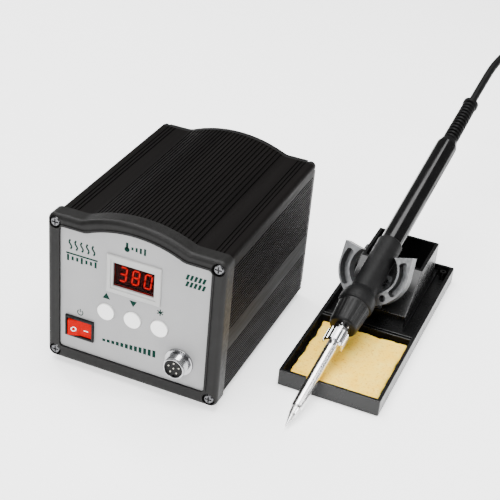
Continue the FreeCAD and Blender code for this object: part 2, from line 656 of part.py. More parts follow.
def stand_tray():
    """Moulded tray: sponge well in front, ribbed divider, raised deck with a channel on each side."""
    x0, x1, y0, y1 = STAND_LEFT, STAND_RIGHT, STAND_FRONT, STAND_BACK
    body = box(x0, x1, y0, y1, TRAY_LOW, RIM_Z)
    upright = [e for e in body.Edges if abs(e.Vertexes[0].Z - e.Vertexes[-1].Z) > 5]
    body = body.makeFillet(1.2, upright)
    body = body.makeFillet(0.5, [e for e in body.Edges if abs(e.BoundBox.ZMin - RIM_Z) < 0.01])
    ix0, ix1, iy0, iy1 = x0 + TRAY_WALL, x1 - TRAY_WALL, y0 + TRAY_WALL, y1 - TRAY_WALL
    well = box(ix0, ix1, iy0, DIVIDER_Y, TRAY_LOW + 2.0, RIM_Z + 1)
    rear = box(ix0, ix1, DIVIDER_Y + 4.5, iy1, DECK_Z, RIM_Z + 1)
    divider_top = box(ix0, ix1, DIVIDER_Y, DIVIDER_Y + 4.5, RIM_Z - 0.8, RIM_Z + 1)
    divider_groove = box(ix0, ix1, DIVIDER_Y + 1.4, DIVIDER_Y + 3.1, RIM_Z - 2.6, RIM_Z)
    left_channel = box(ix0, HOLDER_X[0] - 0.8, HOLDER_Y[0] - 4, iy1, 4.2, RIM_Z)
    right_channel = box(HOLDER_X[1] + 0.8, ix1, HOLDER_Y[0] - 4, iy1, 4.2, RIM_Z)
    body = body.cut(group([well])).cut(rear).cut(divider_top).cut(divider_groove)
    body = body.cut(left_channel).cut(right_channel)
    ridges = [e for e in body.Edges if e.Length > 50 and abs(e.CenterOfMass.z - RIM_Z + 0.8) < 0.01
              and DIVIDER_Y - 0.1 < e.CenterOfMass.y < DIVIDER_Y + 4.6]
    body = body.makeFillet(0.45, ridges)
    post = cylinder_z(ix1 - 4.0, iy1 - 5.0, 2.3, 4.2, RIM_Z - 1.2).cut(
        cylinder_z(ix1 - 4.0, iy1 - 5.0, 1.1, 6.0, RIM_Z))
    body = body.fuse(post)
    pockets = [cylinder_z(x, y, 4.1, TRAY_LOW - 1, TRAY_LOW + 0.9) for x, y in pad_places()]
    return body.cut(group(pockets))


def pad_places():
    return [(x, y) for x in (STAND_LEFT + 8, STAND_RIGHT - 8) for y in (STAND_FRONT + 8, STAND_BACK - 8)]


def stand_pads():
    return group([cylinder_z(x, y, 4.0, 0.0, TRAY_LOW + 0.9) for x, y in pad_places()])


def holder_box():
    """Block on the deck: a short riser, a slope for the cradle and an open box behind it."""
    x0, x1 = HOLDER_X
    front, brow, back = HOLDER_Y
    low, high = HOLDER_Z
    profile = [V(x0, front, DECK_Z), V(x0, front, low), V(x0, brow, high), V(x0, back, high), V(x0, back, DECK_Z)]
    block = prism(profile, V(x1 - x0, 0, 0))
    block = block.makeFillet(0.6, [e for e in block.Edges if e.CenterOfMass.z > DECK_Z + 1])
    cavity = box(x0 + 2.4, x1 - 2.4, brow + 2.8, back - 2.4, DECK_Z + 2.5, high + 1)
    block = block.cut(cavity)
    for x, y, z in cradle_screw_places():
        block = block.cut(Part.makeCylinder(1.3, 11.0, V(x, y, z) - slope_normal() * 9.0, slope_normal()))
    return block


def slope_direction():
    rise = HOLDER_Z[1] - HOLDER_Z[0]
    run = HOLDER_Y[1] - HOLDER_Y[0]
    return V(0, run, rise).normalize()


def slope_normal():
    along = slope_direction()
    return V(0, -along.z, along.y)


def slope_point(x, distance):
    """Point on the slope, this far up from its lower edge."""
    return V(x, HOLDER_Y[0], HOLDER_Z[0]) + slope_direction() * distance


def cradle_screw_places():
    middle = CRADLE_CENTRE.x
    return [slope_point(middle + side * 5.2, 20.0) for side in (-1, 1)]


def cradle_point(x, up, out):
    """Point in the cradle's own frame: across, up the arms, and out of its front face."""
    lean = math.radians(CRADLE_LEAN)
    arm = V(0, math.sin(lean), math.cos(lean))
    face = V(0, -math.cos(lean), math.sin(lean))
    return CRADLE_CENTRE + V(x, 0, 0) + arm * up + face * out


def cradle_slab(points, out0, out1):
    """Prism across the cradle between two distances from its front face."""
    corners = [cradle_point(x, up, out1) for x, up in points]
    return prism(corners, cradle_point(0, 0, out0) - cradle_point(0, 0, out1))


def cradle_drum(x, up, radius, out0, out1):
    direction = cradle_point(0, 0, 1) - cradle_point(0, 0, 0)
    return Part.makeCylinder(radius, out1 - out0, cradle_point(x, up, out0), direction)


def curved_slot(inner, outer, start, end):
    """Blind slot in an arm's face, bent round the cradle's middle from one angle to another."""
    def at(radius, degrees):
        a = math.radians(degrees)
        return cradle_point(radius * math.cos(a), radius * math.sin(a), 1)

    middle = (start + end) / 2
    edges = [
        arc_through(at(inner, start), at(inner, middle), at(inner, end)),
        line(at(inner, end), at(outer, end)),
        arc_through(at(outer, end), at(outer, middle), at(outer, start)),
        line(at(outer, start), at(inner, start)),
    ]
    face = Part.Face(Part.Wire(Part.__sortEdges__(edges)))
    slot = face.extrude(cradle_point(0, 0, -SLOT_DEPTH) - cradle_point(0, 0, 1))
    ends = [e for e in slot.Edges if e.Curve.TypeId == "Part::GeomLine" and e.Length > SLOT_DEPTH]
    return slot.makeFillet(1.9, ends)


def cradle():
    """Cast U that the grip lies in: two slotted arms on a foot that follows the slope."""
    thick = CRADLE_THICK
    ring = cradle_drum(0, 0, CRADLE_OUTER, -thick, 0).cut(cradle_drum(0, 0, CRADLE_INNER, -thick - 1, 1))
    reach = CRADLE_OUTER + 4
    arm_tops = [
        cradle_slab([(side * 12.5, -2), (side * 24.4, -2), (side * 23.9, 14.8), (side * 11.2, 11.6)], -thick, 0)
        .cut(cradle_drum(0, 0, CRADLE_INNER, -thick - 1, 1)) for side in (-1, 1)
    ]
    gap = cradle_slab([(-12.0, 0), (12.0, 0), (12.0, reach), (-12.0, reach)], -thick - 1, 1)
    above = cradle_slab([(-40, 8.0), (40, 8.0), (40, 40), (-40, 40)], -thick - 1, 1)
    ring = ring.cut(gap).cut(above)
    body = fused([ring] + arm_tops)
    for start, end in ((-42, 28), (152, 222)):
        body = body.cut(curved_slot(17.9, 23.2, start, end))
    for centre in (-57, 237):
        body = body.cut(curved_slot(18.2, 22.8, centre - 6, centre + 6))
    foot = cradle_foot().cut(cradle_drum(0, 0, CRADLE_INNER, -thick - 1, 1))
    return body.fuse(foot.cut(body)).removeSplitter()


def cradle_foot():
    """Plate on the slope, with a wedge under the ring."""
    x0 = CRADLE_CENTRE.x - 9.0
    width = V(18.0, 0, 0)
    along = slope_direction()
    up = slope_normal()
    start = slope_point(x0, 0.6)
    plate = prism([start, start + along * 25.0, start + along * 25.0 + up * 3.0, start + up * 3.0], width)
    ring_low = cradle_point(0, -CRADLE_OUTER + 3.0, -CRADLE_THICK + 1.0)
    low = V(x0, ring_low.y, ring_low.z)
    wedge = prism([start, start + along * 13.0, start + along * 13.0 + up * 3.0, low + V(0, 4.5, 1.0),
                   low + V(0, -2.0, 0.5)], width)
    foot = plate.fuse(wedge)
    for point in cradle_screw_places():
        foot = foot.cut(Part.makeCylinder(1.7, 8.0, point - up, up))
        foot = foot.cut(Part.makeCylinder(3.2, 12.0, point + up * 3.0, up))
    return foot


def cradle_screws():
    up = slope_normal()
    screws = []
    for point in cradle_screw_places():
        head = Part.makeCylinder(2.8, 1.8, point + up * 3.0, up)
        shank = Part.makeCylinder(1.25, 10.5, point - up * 7.5, up)
        screws.append(head.fuse(shank))
    return group(screws)


def sponge():
    return box(87.9, 149.0, STAND_FRONT + 4.5, DIVIDER_Y - 4.0, TRAY_LOW + 2.0, TRAY_LOW + 9.0)


# ---------------------------------------------------------------- iron

def iron_direction():
    rise, turn = math.radians(IRON_RISE), math.radians(IRON_TURN)
    return V(math.cos(rise) * math.sin(turn), math.cos(rise) * math.cos(turn), math.sin(rise))


def iron_point(distance):
    return IRON_TIP + iron_direction() * distance


def turned(profile):
    """Round part of the iron, from corners of distance from the tip's point and radius."""
    return revolved(profile, IRON_TIP, iron_direction())


def fluted(shape, count, radius, cut_radius, start, end, end_radius=None):
    """Shape with round flutes along the iron, at this radius or from it to end_radius."""
    across = V(1, 0, 0).cross(iron_direction()).normalize()
    cuts = []
    for i in range(count):
        spoke = FreeCAD.Rotation(iron_direction(), 360.0 * i / count).multVec(across)
        first = iron_point(start) + spoke * radius
        run = iron_point(end) + spoke * (end_radius or radius) - first
        cuts.append(Part.makeCylinder(cut_radius, run.Length, first, run))
    return shape.cut(group(cuts))


def tip():
    return turned([(0, 0), (0.2, 0.35), (8.5, 2.1), (10.0, 2.6), (BARREL_START - 0.5, 3.0), (60.0, 3.0),
                   (60.0, 2.2), (24.0, 2.2), (23.0, 0)])


def barrel():
    r = BARREL_RADIUS
    return turned([(BARREL_START, 3.05), (BARREL_START, 3.4), (BARREL_START + 1.0, r), (NUT_START + 3, r),
                   (NUT_START + 3, 5.2), (NUT_START + 4.5, 5.2), (NUT_START + 4.5, 3.05)])


def heater():
    """Ceramic heater rod with its sensor, from inside the tip to the handle."""
    return turned([(26.0, 0), (26.0, 1.9), (92.0, 1.9), (92.0, 3.0), (100.0, 3.0), (100.0, 0)])


def barrel_nut():
    body = turned([(NUT_START, BARREL_RADIUS + 0.1), (NUT_START, 6.2), (NUT_START + 1.4, NUT_RADIUS),
                   (NUT_END - 0.6, NUT_RADIUS), (NUT_END, NUT_RADIUS - 0.5), (NUT_END, 5.4),
                   (NUT_START + 2.5, 5.4), (NUT_START + 2.5, BARREL_RADIUS + 0.1)])
    return fluted(body, 12, NUT_RADIUS + 0.4, 1.0, NUT_START - 1, NUT_END + 1)


def heater_collar():
    """Metal collar between the nut and the nose, with notches round its front."""
    body = turned([(NUT_START + 5.0, 3.5), (NUT_START + 5.0, 5.3), (NOSE_START + 2.0, 5.3), (NOSE_START + 2.0, 3.5)])
    return fluted(body, 6, 6.0, 1.1, NUT_END + 1.0, NOSE_START)


def nose():
    """Ribbed cone whose front face closes down to the collar."""
    body = turned([(NOSE_START + 2.05, 3.6), (NOSE_START + 2.05, 5.6), (NOSE_START, 5.6), (NOSE_START, 8.6),
                   (NOSE_START + 0.4, 9.2), (NOSE_START + 1.4, 9.7), (GUARD_START, 11.0), (GUARD_START, 3.6)])
    return fluted(body, 24, 10.2, 0.75, NOSE_START - 1, GUARD_START - 1.5, 11.4)


def grip():
    """Rubber sleeve with a round guard at its front."""
    guard = [(0.0, 10.9), (0.5, 11.7), (1.8, 12.1), (3.8, 12.2), (5.8, 12.15), (7.8, 11.85), (9.4, 11.35),
             (11.0, 10.6), (12.2, 9.95), (13.2, 9.45)]
    return turned([(GUARD_START, 6.1)] + [(GUARD_START + at, radius) for at, radius in guard] + [
                   (GRIP_START, GRIP_RADIUS),
                   (GRIP_END - 0.8, GRIP_RADIUS), (GRIP_END, GRIP_RADIUS - 0.6), (GRIP_END, 7.95),
                   (GRIP_END - 6.0, 7.95), (GRIP_END - 6.0, 6.1)])


def handle():
    """Glossy tube under the sleeve, ending in a taper that closes on the boot."""
    r = HANDLE_RADIUS
    return turned([(GUARD_START + 0.05, 4.6), (GUARD_START + 0.05, 6.05), (GRIP_END - 6.0, 6.05), (GRIP_END - 6.0, r),
                   (HANDLE_END - 0.3, r), (HANDLE_END, r - 0.35), (HANDLE_END + 0.3, r - 0.1),
                   (HANDLE_END + 2.0, r - 0.1), (HANDLE_END + 7.5, 6.3), (HANDLE_END + 8.4, 5.7),
                   (HANDLE_END + 8.4, 5.05), (HANDLE_END - 10.0, 5.05), (HANDLE_END - 10.0, 6.4),
                   (GRIP_END - 2, 6.4), (GRIP_END - 2, 4.6)])


def boot():
    """Ribbed strain relief, a chain of discs on a tapered core."""
    start = HANDLE_END - 9.0
    shoulder = HANDLE_END + 9.0
    rings = 12
    pitch = (BOOT_END - 4.0 - shoulder) / rings
    bore = CORD_DIAMETER / 2 + 0.03
    profile = [(start, bore), (start, 5.0), (shoulder, 5.0)]
    for i in range(rings):
        at = shoulder + i * pitch
        rib = 5.7 - 0.03 * i
        profile += [(at + 0.4, rib), (at + pitch * 0.55, rib), (at + pitch * 0.7, 4.3), (at + pitch, 4.3)]
    profile += [(BOOT_END - 3.4, 5.9), (BOOT_END - 0.4, 5.9), (BOOT_END, 5.3), (BOOT_END, bore)]
    return turned(profile)


# ---------------------------------------------------------------- cord

def cord_route():
    """From the boot, straight on with the handle, over and down to the bench, to the coil's outer turn."""
    return [
        iron_point(BOOT_END - 12.0),
        iron_point(BOOT_END + 24.0),
        V(130.2, 292.0, 123.9),
        V(140.5, 327.0, 129.0),
        V(163.5, 358.0, 119.0),
        V(190.0, 376.0, 86.0),
        V(214.0, 378.0, 47.5),
        V(234.0, 369.0, 16.0),
        V(243.5, 346.0, 3.2),
        V(245.9, 315.0, 3.2),
    ]


def tail_route():
    """From the coil's top turn to the back of the plug."""
    return [V(240.0, 290.0, 9.0), V(243.0, 273.0, 9.0), V(249.0, 256.5, 8.8), PLUG_START]


def rounded_path(points):
    """Straight runs joined by tangent arcs, each as large as its two runs allow."""
    edges = []
    radii = []
    previous = points[0]
    for i in range(1, len(points) - 1):
        before = points[i] - points[i - 1]
        after = points[i + 1] - points[i]
        setback = 0.45 * min(before.Length, after.Length)
        turn = before.getAngle(after)
        radii.append(setback / math.tan(turn / 2))
        before.normalize()
        after.normalize()
        enter = points[i] - before * setback
        leave = points[i] + after * setback
        inward = (after - before).normalize()
        centre = enter + (inward - before * before.dot(inward)).normalize() * radii[-1]
        middle = centre + (points[i] - centre).normalize() * radii[-1]
        edges.append(line(previous, enter))
        edges.append(arc_through(enter, middle, leave))
        previous = leave
    edges.append(line(previous, points[-1]))
    return Part.Wire(edges), radii


def cord_tube(points, name):
    path, radii = rounded_path(points)
    radius = CORD_DIAMETER / 2
    start = Part.Wire(Part.makeCircle(radius, points[0], points[1] - points[0]))
    tube = path.makePipeShell([start], True, False)
    expected = math.pi * radius ** 2 * path.Length
    print(name, "length", round(path.Length, 1), "radii", [round(r, 1) for r in radii],
          "volume share", round(tube.Volume / expected, 4))
    return tube


def iron_cord():
    return cord_tube(cord_route(), "iron_cord")


def cord_tail():
    return cord_tube(tail_route(), "cord_tail")


def cord_coil():
    """Outer shape of the wound turns, as one closed ring, with flat gaps where the cord joins and leaves."""
    half = CORD_DIAMETER / 2
    x, y = COIL_CENTRE.x, COIL_CENTRE.y
    high = COIL_LAYERS * CORD_DIAMETER
    ring = cylinder_z(x, y, COIL_TURN_RADII[1] + half, 0, high)
    ring = ring.cut(cylinder_z(x, y, COIL_TURN_RADII[0] - half, -1, high + 1))
    return ring.makeFillet(2.5, ring.Edges)


def plug_direction():
    route = tail_route()
    return (route[-1] - route[-2]).normalize()


def plug_part(profile):
    return revolved(profile, PLUG_START, plug_direction())


def plug_shell():
    """Back shell of the plug, with its cable clamp."""
    bore = CORD_DIAMETER / 2 + 0.03
    return plug_part([(-7.0, bore), (-7.0, 4.4), (-1.0, 5.2), (0.0, 6.4), (16.0, 6.4), (16.0, 7.2), (19.0, 7.2),
                      (19.0, 5.9), (1.0, 5.9), (1.0, bore)])


def plug_ring():
    """Knurled coupling ring that screws onto the socket."""
    ring = plug_part([(11.0, 6.5), (11.0, 8.0), (12.0, PLUG_RADIUS), (25.0, PLUG_RADIUS), (26.0, 8.1), (26.0, 7.4),
                      (19.4, 7.4), (15.6, 7.4), (15.6, 6.5)])
    across = V(0, 0, 1)
    cuts = []
    for i in range(24):
        spoke = FreeCAD.Rotation(plug_direction(), 360.0 / 24 * (i + 0.5)).multVec(across)
        start = PLUG_START + plug_direction() * 12.5 + spoke * (PLUG_RADIUS + 0.3)
        cuts.append(Part.makeCylinder(0.6, 12.0, start, plug_direction()))
    return ring.cut(group(cuts))


def plug_insert():
    """Insulator and contact sleeves at the front of the plug."""
    body = plug_part([(8.0, 0), (8.0, 5.85), (27.5, 5.85), (27.5, 0)])
    pins = []
    for i in range(6):
        spoke = FreeCAD.Rotation(plug_direction(), 72.0 * i).multVec(V(0, 0, 3.6 if i < 5 else 0))
        start = PLUG_START + plug_direction() * 26.0 + spoke
        pins.append(Part.makeCylinder(0.6, 4.0, start, plug_direction()))
    return body.cut(group(pins))


# ---------------------------------------------------------------- write

PIECES = {
    "case_shell": case_shell,
    "front_bezel": front_bezel,
    "front_panel": front_panel,
    "rear_bezel": rear_bezel,
    "rear_panel": rear_panel,
    "case_screws": case_screws,
    "rubber_feet": rubber_feet,
    "foot_screws": foot_screws,
    "display_frame": display_frame,
    "display_window": display_window,
    "display_module": display_module,
    "digit_segments": digit_segments,
    "display_board": display_board,
    "board_posts": board_posts,
    "tact_switches": tact_switches,
    "switch_housing": switch_housing,
    "power_rocker": power_rocker,
    "socket_shell": socket_shell,
    "socket_insert": socket_insert,
    "socket_pins": socket_pins,
    "socket_nut": socket_nut,
    "mains_inlet": mains_inlet,
    "inlet_pins": inlet_pins,
    "fuse_holder": fuse_holder,
    "fuse_cap": fuse_cap,
    "fuse": fuse,
    "ground_jack": ground_jack,
    "shelf_plate": shelf_plate,
    "transformer_core": transformer_core,
    "transformer_coil": transformer_coil,
    "transformer_strap": transformer_strap,
    "strap_screws": strap_screws,
    "main_board": main_board,
    "heatsink": heatsink,
    "power_devices": power_devices,
    "capacitors": capacitors,
    "stand_tray": stand_tray,
    "stand_pads": stand_pads,
    "holder_box": holder_box,
    "cradle": cradle,
    "cradle_screws": cradle_screws,
    "sponge": sponge,
    "tip": tip,
    "barrel": barrel,
    "heater": heater,
    "barrel_nut": barrel_nut,
    "heater_collar": heater_collar,
    "nose": nose,
    "grip": grip,
    "handle": handle,
    "boot": boot,
    "iron_cord": iron_cord,
    "cord_coil": cord_coil,
    "cord_tail": cord_tail,
    "plug_shell": plug_shell,
    "plug_ring": plug_ring,
    "plug_insert": plug_insert,
}


def main():
    os.makedirs("parts", exist_ok=True)
    pieces = dict(PIECES)
    for name in BUTTON_X:
        pieces["button_" + name] = lambda which=name: button(which)
    for node, build in pieces.items():
        shape = build()
        print(node, "solids", len(shape.Solids), "valid", shape.isValid(), "volume", round(shape.Volume, 1))
        shape.exportStep("parts/" + node + ".step")


main()
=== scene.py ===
"""Soldering iron station: looks, cord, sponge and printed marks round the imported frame, in metres."""
import itertools
import json
import math
import random

import bmesh
import bpy
from mathutils import Matrix, Vector


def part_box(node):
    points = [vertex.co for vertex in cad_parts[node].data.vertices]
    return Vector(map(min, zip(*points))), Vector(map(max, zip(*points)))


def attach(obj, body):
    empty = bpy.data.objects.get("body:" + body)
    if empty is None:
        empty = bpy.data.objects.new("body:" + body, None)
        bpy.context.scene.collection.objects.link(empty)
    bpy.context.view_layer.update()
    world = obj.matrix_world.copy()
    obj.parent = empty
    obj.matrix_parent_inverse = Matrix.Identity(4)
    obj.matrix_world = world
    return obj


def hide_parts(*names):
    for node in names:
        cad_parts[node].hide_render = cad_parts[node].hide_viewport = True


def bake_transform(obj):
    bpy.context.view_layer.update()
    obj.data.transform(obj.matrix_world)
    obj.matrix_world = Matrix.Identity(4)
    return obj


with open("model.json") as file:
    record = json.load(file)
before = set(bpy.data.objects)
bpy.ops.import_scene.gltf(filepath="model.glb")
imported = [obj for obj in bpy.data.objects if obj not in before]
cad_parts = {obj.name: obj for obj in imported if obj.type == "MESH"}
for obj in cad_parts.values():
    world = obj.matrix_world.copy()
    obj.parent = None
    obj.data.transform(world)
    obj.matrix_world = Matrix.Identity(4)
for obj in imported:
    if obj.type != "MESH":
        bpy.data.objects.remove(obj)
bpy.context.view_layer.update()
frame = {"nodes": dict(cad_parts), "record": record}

NODES = frame["nodes"]
MM = 0.001


def middle(node):
    low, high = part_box(node)
    return (low + high) / 2


# Places that the frame gives
PANEL_LOW, PANEL_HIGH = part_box("front_panel")
PANEL_FACE = PANEL_LOW.y
SWITCH = middle("switch_housing")

# Printed marks: their thickness, and the place of each symbol in X and Z in millimetres
PRINT_THICK = 0.05 * MM
THERMOMETER = (0.0, PANEL_HIGH.z / MM - 9.0)
POWER_SIGN = (SWITCH.x / MM, SWITCH.z / MM + 11.6)
HEAT_SIGN = (-36.0, 91.5)
GUARD_SIGN = (40.6, 91.0)
RISING_SCALE = (-2.0, 30.0)

# Rocker: its pivot, how far it is tilted at rest, and how each half rises from the crease between them
ROCKER_PIVOT = Vector((-36.7, -74.5, SWITCH.z / MM)) * MM
ROCKER_TILT = math.radians(11.0)
ROCKER_SLOPE = math.atan2(1.4, 7.9)
ROCKER_CREASE = -3.0 * MM

# Iron's line
IRON_TIP = Vector((104.2, -70.0, 2.6)) * MM
IRON_RISE = math.radians(18.6)
IRON_TURN = math.radians(4.0)
BOOT_END = 325.6 * MM

# Cord: the coil's turns are the radius and the height of each turn's centre line, in millimetres, and
# the last part of every turn passes over to the next one
CORD_DIAMETER = 6.0 * MM
COIL_CENTRE = Vector((203.5, 315.0, 0.0)) * MM
COIL_TURNS = ((36.0, 3.0), (30.0, 3.0), (30.0, 9.0), (36.0, 9.0))
POINTS_PER_TURN = 24
PASSING_SHARE = 0.2

# Sponge: cells across, along and up, and the stretch over which its edges' waves run
SPONGE_CELLS = (60, 66, 5)
SPONGE_WAVES_LENGTH = 60.0 * MM

# Camera, with its lens in millimetres, then the studio and the floor
CAMERA_LENS = 88.27
CAMERA_PLACE = (0.2785, -0.6358, 0.4842)
CAMERA_RIGHT = Vector((0.9174, 0.3898, 0.0806))
CAMERA_UP = Vector((-0.2664, 0.4508, 0.8519))
STUDIO_CENTRE = (0.05, 0.05, 0.05)
WORLD_STRENGTH = 0.25
FLOOR_REACH = 14.0


# ---------------------------------------------------------------- small helpers

def iron_point(distance):
    """Point on the iron's axis, at a distance from the tip's end."""
    flat = math.cos(IRON_RISE)
    line = Vector((flat * math.sin(IRON_TURN), flat * math.cos(IRON_TURN), math.sin(IRON_RISE)))
    return IRON_TIP + line * distance


def grey(level):
    return (level, level, level)


def new_object(name, mesh, body, slot, smooth=False):
    """Puts a mesh in the scene as one piece of a body, in the material of its slot."""
    piece = bpy.data.objects.new(name, mesh)
    bpy.context.scene.collection.objects.link(piece)
    for face in mesh.polygons:
        face.use_smooth = smooth
    mesh.materials.append(MATERIAL[slot])
    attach(piece, body)
    return piece


def mesh_of(shape, name):
    """Turns a finished bmesh into a mesh, and frees it."""
    mesh = bpy.data.meshes.new(name)
    shape.to_mesh(mesh)
    shape.free()
    return mesh


# ---------------------------------------------------------------- materials

class Surface:
    """A Principled material under construction, with shortcuts for its nodes."""

    def __init__(self, name, colour, roughness, metallic=0.0):
        self.material = bpy.data.materials.new(name)
        self.material.use_nodes = True
        self.nodes = self.material.node_tree.nodes
        self.links = self.material.node_tree.links
        self.shader = self.nodes["Principled BSDF"]
        self.colour = (*colour, 1.0)
        self.shader.inputs["Base Color"].default_value = self.colour
        self.shader.inputs["Roughness"].default_value = roughness
        self.shader.inputs["Metallic"].default_value = metallic
        self.material.diffuse_color = self.colour
        self.place = self.nodes.new("ShaderNodeTexCoord").outputs["Object"]

    def set(self, **values):
        """Sets shader inputs by name, with an underscore for each space."""
        for name, value in values.items():
            self.shader.inputs[name.replace("_", " ")].default_value = value
        return self

    def stretched(self, scale):
        mapping = self.nodes.new("ShaderNodeMapping")
        mapping.inputs["Scale"].default_value = scale
        self.links.new(self.place, mapping.inputs["Vector"])
        return mapping.outputs["Vector"]

    def noise(self, size_mm, detail=3.0, stretch=(1, 1, 1)):
        texture = self.nodes.new("ShaderNodeTexNoise")
        texture.inputs["Scale"].default_value = 1.0 / (size_mm * MM)
        texture.inputs["Detail"].default_value = detail
        self.links.new(self.stretched(stretch), texture.inputs["Vector"])
        return texture.outputs["Fac"]

    def ramp(self, value, low, high, start=0.35, end=0.65):
        """Spreads a value between start and end over the range from low to high."""
        node = self.nodes.new("ShaderNodeMapRange")
        node.inputs["From Min"].default_value = start
        node.inputs["From Max"].default_value = end
        node.inputs["To Min"].default_value = low
        node.inputs["To Max"].default_value = high
        self.links.new(value, node.inputs["Value"])
        return node.outputs["Result"]

    def mix_in(self, value, other, start, end):
        """Feeds the shader a mix with another colour, and returns the input for the colour under it."""
        mix = self.nodes.new("ShaderNodeMix")
        mix.data_type = "RGBA"
        under, over = [socket for socket in mix.inputs if socket.type == "RGBA"]
        over.default_value = (*other, 1.0)
        self.links.new(self.ramp(value, 0.0, 1.0, start, end), mix.inputs["Factor"])
        mixed = [socket for socket in mix.outputs if socket.type == "RGBA"][0]
        self.links.new(mixed, self.shader.inputs["Base Color"])
        return under

    def vary_colour(self, value, other, start=0.35, end=0.65):
        """Mixes another colour into the plain one."""
        self.mix_in(value, other, start, end).default_value = self.colour
        return self

    def speckle(self, value, other, start, end):
        """Lays another colour over the ones so far."""
        before = self.shader.inputs["Base Color"].links[0].from_socket
        self.links.new(before, self.mix_in(value, other, start, end))
        return self

    def vary_roughness(self, value, low, high):
        self.links.new(self.ramp(value, low, high), self.shader.inputs["Roughness"])
        return self

    def bump(self, value, depth_mm, strength=0.6):
        node = self.nodes.new("ShaderNodeBump")
        node.inputs["Distance"].default_value = depth_mm * MM
        node.inputs["Strength"].default_value = strength
        self.links.new(value, node.inputs["Height"])
        self.links.new(node.outputs["Normal"], self.shader.inputs["Normal"])
        return self

    def done(self):
        return self.material


def moulded(name, colour, lighter, roughness=0.45, grain=0.35, depth=0.03):
    """Moulded plastic with a fine spark-eroded grain."""
    look = Surface(name, colour, roughness)
    look.set(Specular_IOR_Level=0.15 if max(colour) < 0.1 else 0.35)
    look.vary_colour(look.noise(9.0, 4), lighter)
    look.vary_roughness(look.noise(4.0, 5), roughness - 0.06, roughness + 0.08)
    return look.bump(look.noise(grain, 2), depth).done()


def polished_metal(name, colour, roughness=0.12):
    """Plated or polished metal with faint wipe marks."""
    look = Surface(name, colour, roughness, 1.0)
    look.vary_colour(look.noise(3.0, 4), tuple(c * 0.86 for c in colour))
    return look.vary_roughness(look.noise(1.2, 6), roughness * 0.6, roughness * 1.7).done()


def drawn_metal(name, colour, roughness, stretch, depth=0.01):
    """Metal with fine scratches along one direction."""
    look = Surface(name, colour, roughness, 1.0)
    lines = look.noise(0.8, 4, stretch)
    look.vary_colour(lines, tuple(c * 0.8 for c in colour))
    look.vary_roughness(lines, roughness - 0.08, roughness + 0.12)
    return look.bump(lines, depth, 0.4).done()


def anodised_case():
    look = Surface("anodised_case", (0.003, 0.0026, 0.0025), 0.5)
    look.set(Specular_IOR_Level=0.045)
    look.vary_colour(look.noise(14.0, 3, (1, 0.06, 1)), (0.0048, 0.0042, 0.004))
    look.vary_roughness(look.noise(0.9, 4, (1, 0.03, 1)), 0.42, 0.52)
    return look.bump(look.noise(0.8, 2, (1, 0.1, 1)), 0.003, 0.2).done()


def bezel_plastic():
    look = Surface("bezel_plastic", (0.005, 0.0048, 0.0046), 0.36)
    look.set(Specular_IOR_Level=0.16)
    look.vary_colour(look.noise(12.0, 4), (0.0065, 0.0062, 0.006))
    look.vary_roughness(look.noise(3.0, 5), 0.42, 0.52)
    return look.bump(look.noise(0.3, 2), 0.03, 0.5).done()


def panel_foil():
    look = Surface("panel_foil", (0.265, 0.265, 0.267), 0.5, 0.05)
    look.vary_colour(look.noise(30.0, 3), (0.285, 0.285, 0.287))
    look.vary_roughness(look.noise(1.0, 5), 0.44, 0.56)
    return look.bump(look.noise(0.25, 2), 0.012, 0.4).done()


def window_glass():
    look = Surface("window_glass", (0.6, 0.06, 0.05), 0.03)
    look.set(Transmission_Weight=1.0, IOR=1.1, Specular_IOR_Level=0.05)
    return look.vary_roughness(look.noise(6.0, 4), 0.02, 0.04).done()


def lit_digits():
    look = Surface("lit_digits", (0.8, 0.01, 0.01), 0.5)
    look.shader.inputs["Emission Color"].default_value = (1.0, 0.0, 0.0, 1.0)
    look.set(Emission_Strength=0.75, Specular_IOR_Level=0.02)
    return look.vary_colour(look.noise(1.5, 2), (0.9, 0.03, 0.02)).done()


def rocker_plastic():
    look = Surface("rocker_plastic", (0.38, 0.0, 0.0), 0.4)
    look.set(Specular_IOR_Level=0.02)
    # The faint red emission is a painted glow that brightens the rocker's red.
    look.shader.inputs["Emission Color"].default_value = (1.0, 0.002, 0.001, 1.0)
    look.set(Emission_Strength=0.15)
    return look.vary_colour(look.noise(5.0, 3), (0.31, 0.0, 0.0)).done()


def printed_ink(name, colour):
    look = Surface(name, colour, 0.6)
    look.set(Specular_IOR_Level=0.05)
    return look.vary_colour(look.noise(0.8, 4), tuple(c * 1.35 for c in colour)).done()


def tray_plastic():
    look = Surface("tray_plastic", (0.0022, 0.0022, 0.0023), 0.28)
    look.set(Specular_IOR_Level=0.34)
    look.vary_colour(look.noise(16.0, 4), (0.0035, 0.0035, 0.0036))
    look.vary_roughness(look.noise(9.0, 3), 0.24, 0.32)
    return look.bump(look.noise(1.5, 2), 0.002, 0.2).done()


def cast_metal():
    look = Surface("cast_metal", (0.115, 0.117, 0.12), 0.42, 0.7)
    look.vary_colour(look.noise(5.0, 5), (0.085, 0.087, 0.09))
    look.vary_roughness(look.noise(1.4, 5), 0.36, 0.54)
    return look.bump(look.noise(0.7, 4), 0.06, 0.6).done()


def steel_tube():
    look = Surface("steel_tube", (0.84, 0.83, 0.83), 0.22, 1.0)
    lines = look.noise(1.6, 4, (2.0, 0.12, 1.0))
    look.vary_colour(lines, (0.79, 0.78, 0.78))
    return look.vary_roughness(lines, 0.2, 0.26).done()


def tip_metal():
    look = Surface("tip_metal", (0.72, 0.72, 0.73), 0.3, 1.0)
    look.vary_colour(look.noise(2.5, 5), (0.5, 0.48, 0.46))
    look.vary_roughness(look.noise(0.8, 5), 0.22, 0.45)
    return look.bump(look.noise(0.4, 4), 0.03, 0.5).done()


